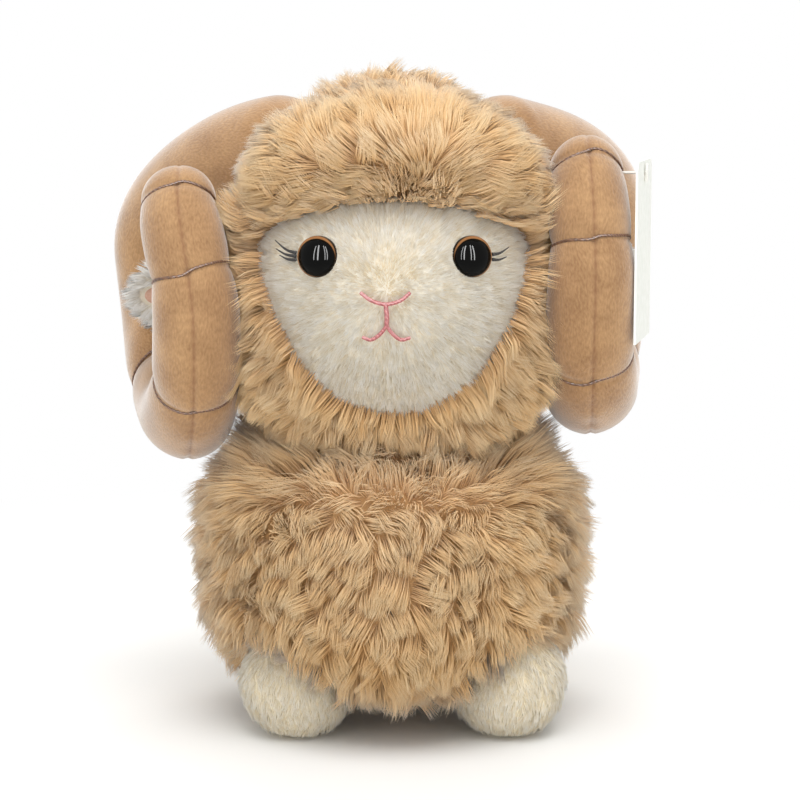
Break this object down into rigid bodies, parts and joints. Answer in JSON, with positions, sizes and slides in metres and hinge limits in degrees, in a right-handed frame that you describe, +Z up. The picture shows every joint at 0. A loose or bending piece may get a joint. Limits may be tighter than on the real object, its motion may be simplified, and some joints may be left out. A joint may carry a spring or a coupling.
{
  "type": "plush ram",
  "caption": "Stuffed toy ram with a long-pile body and hood, a cream face with glossy eyes, large curled horns, soft ears, round feet and a bare hang tag.",
  "frame": {"origin": "on the floor, under the middle of the toy's box", "axes": "+Z up, the face looks along -Y, the toy's own left is +X"},
  "size_m": [0.2274, 0.192, 0.2648],
  "materials": {
    "long_pile": "long tan pile, brushed",
    "short_pile": "short cream pile",
    "horn_nap": "short smooth nap",
    "ear_lining": "short rosy pile",
    "stuffing": "loose fibre fill",
    "tape": "woven tape",
    "eye": "polished",
    "washer": "moulded",
    "card": "bare, smooth",
    "pin": "moulded, translucent white"
  },
  "bodies": {
    "torso": {"body_cover": "long_pile", "body_stuffing": "stuffing"},
    "neck": {"neck_band": "tape"},
    "head": {"head_hood": "long_pile", "face_panel": "short_pile", "forelock": "long_pile", "head_stuffing": "stuffing", "eye_left": "eye", "eye_right": "eye", "eye_washer_left": "washer", "eye_washer_right": "washer"},
    "horn_left": {"horn_cover_left": "horn_nap", "horn_stuffing_left": "stuffing", "tag_fastener": "pin"},
    "horn_right": {"horn_cover_right": "horn_nap", "horn_stuffing_right": "stuffing"},
    "tag": {"hang_tag": "card"},
    "ear_left": {"ear_back_left": "short_pile", "ear_lining_left": "ear_lining"},
    "ear_right": {"ear_back_right": "short_pile", "ear_lining_right": "ear_lining"},
    "tail": {"tail": "long_pile"},
    "foot_front_left": {"foot_cover_front_left": "short_pile", "foot_stuffing_front_left": "stuffing"},
    "foot_front_right": {"foot_cover_front_right": "short_pile", "foot_stuffing_front_right": "stuffing"},
    "foot_back_left": {"foot_cover_back_left": "short_pile", "foot_stuffing_back_left": "stuffing"},
    "foot_back_right": {"foot_cover_back_right": "short_pile", "foot_stuffing_back_right": "stuffing"}
  },
  "joints": [
    {"name": "neck_turn", "type": "hinge", "parent": "torso", "child": "neck", "pos_m": [0.00401, -0.0226, 0.09], "axis": [0, 0, 1], "range_deg": [-14, 14], "stiffness_Nm_per_rad": 0.6},
    {"name": "neck_nod", "type": "hinge", "parent": "neck", "child": "head", "pos_m": [0.00401, -0.0226, 0.09], "axis": [1, 0, 0], "range_deg": [-7, 7], "stiffness_Nm_per_rad": 1.5},
    {"name": "horn_left_swing", "type": "hinge", "parent": "head", "child": "horn_left", "pos_m": [0.05035, -0.00299, 0.2294], "axis": [0, -1, 0], "range_deg": [0, 8], "stiffness_Nm_per_rad": 0.3},
    {"name": "horn_right_swing", "type": "hinge", "parent": "head", "child": "horn_right", "pos_m": [-0.04233, -0.00299, 0.2294], "axis": [0, 1, 0], "range_deg": [0, 8], "stiffness_Nm_per_rad": 0.3},
    {"name": "tag_swing", "type": "hinge", "parent": "horn_left", "child": "tag", "pos_m": [0.10106, -0.05489, 0.22485], "axis": [0.9703, -0.2419, 0], "range_deg": [-30, 10]},
    {"name": "ear_left_flap", "type": "hinge", "parent": "head", "child": "ear_left", "pos_m": [0.06917, -0.0146, 0.183], "axis": [0, 0, 1], "range_deg": [-14, 0], "stiffness_Nm_per_rad": 0.02},
    {"name": "ear_right_flap", "type": "hinge", "parent": "head", "child": "ear_right", "pos_m": [-0.06074, -0.0146, 0.173], "axis": [0, 0, 1], "range_deg": [-12, 12], "stiffness_Nm_per_rad": 0.02},
    {"name": "tail_wag", "type": "hinge", "parent": "torso", "child": "tail", "pos_m": [0.00401, 0.0664, 0.059], "axis": [0, 0, 1], "range_deg": [-15, 15], "stiffness_Nm_per_rad": 0.05},
    {"name": "foot_front_left_swing", "type": "hinge", "parent": "torso", "child": "foot_front_left", "pos_m": [0.05001, -0.0506, 0.0214], "axis": [1, 0, 0], "range_deg": [-8, 8], "stiffness_Nm_per_rad": 0.5},
    {"name": "foot_front_right_swing", "type": "hinge", "parent": "torso", "child": "foot_front_right", "pos_m": [-0.03399, -0.0506, 0.0214], "axis": [1, 0, 0], "range_deg": [-8, 8], "stiffness_Nm_per_rad": 0.5},
    {"name": "foot_back_left_swing", "type": "hinge", "parent": "torso", "child": "foot_back_left", "pos_m": [0.05001, 0.0234, 0.0214], "axis": [1, 0, 0], "range_deg": [-8, 8], "stiffness_Nm_per_rad": 0.5},
    {"name": "foot_back_right_swing", "type": "hinge", "parent": "torso", "child": "foot_back_right", "pos_m": [-0.03399, 0.0234, 0.0214], "axis": [1, 0, 0], "range_deg": [-8, 8], "stiffness_Nm_per_rad": 0.5}
  ]
}
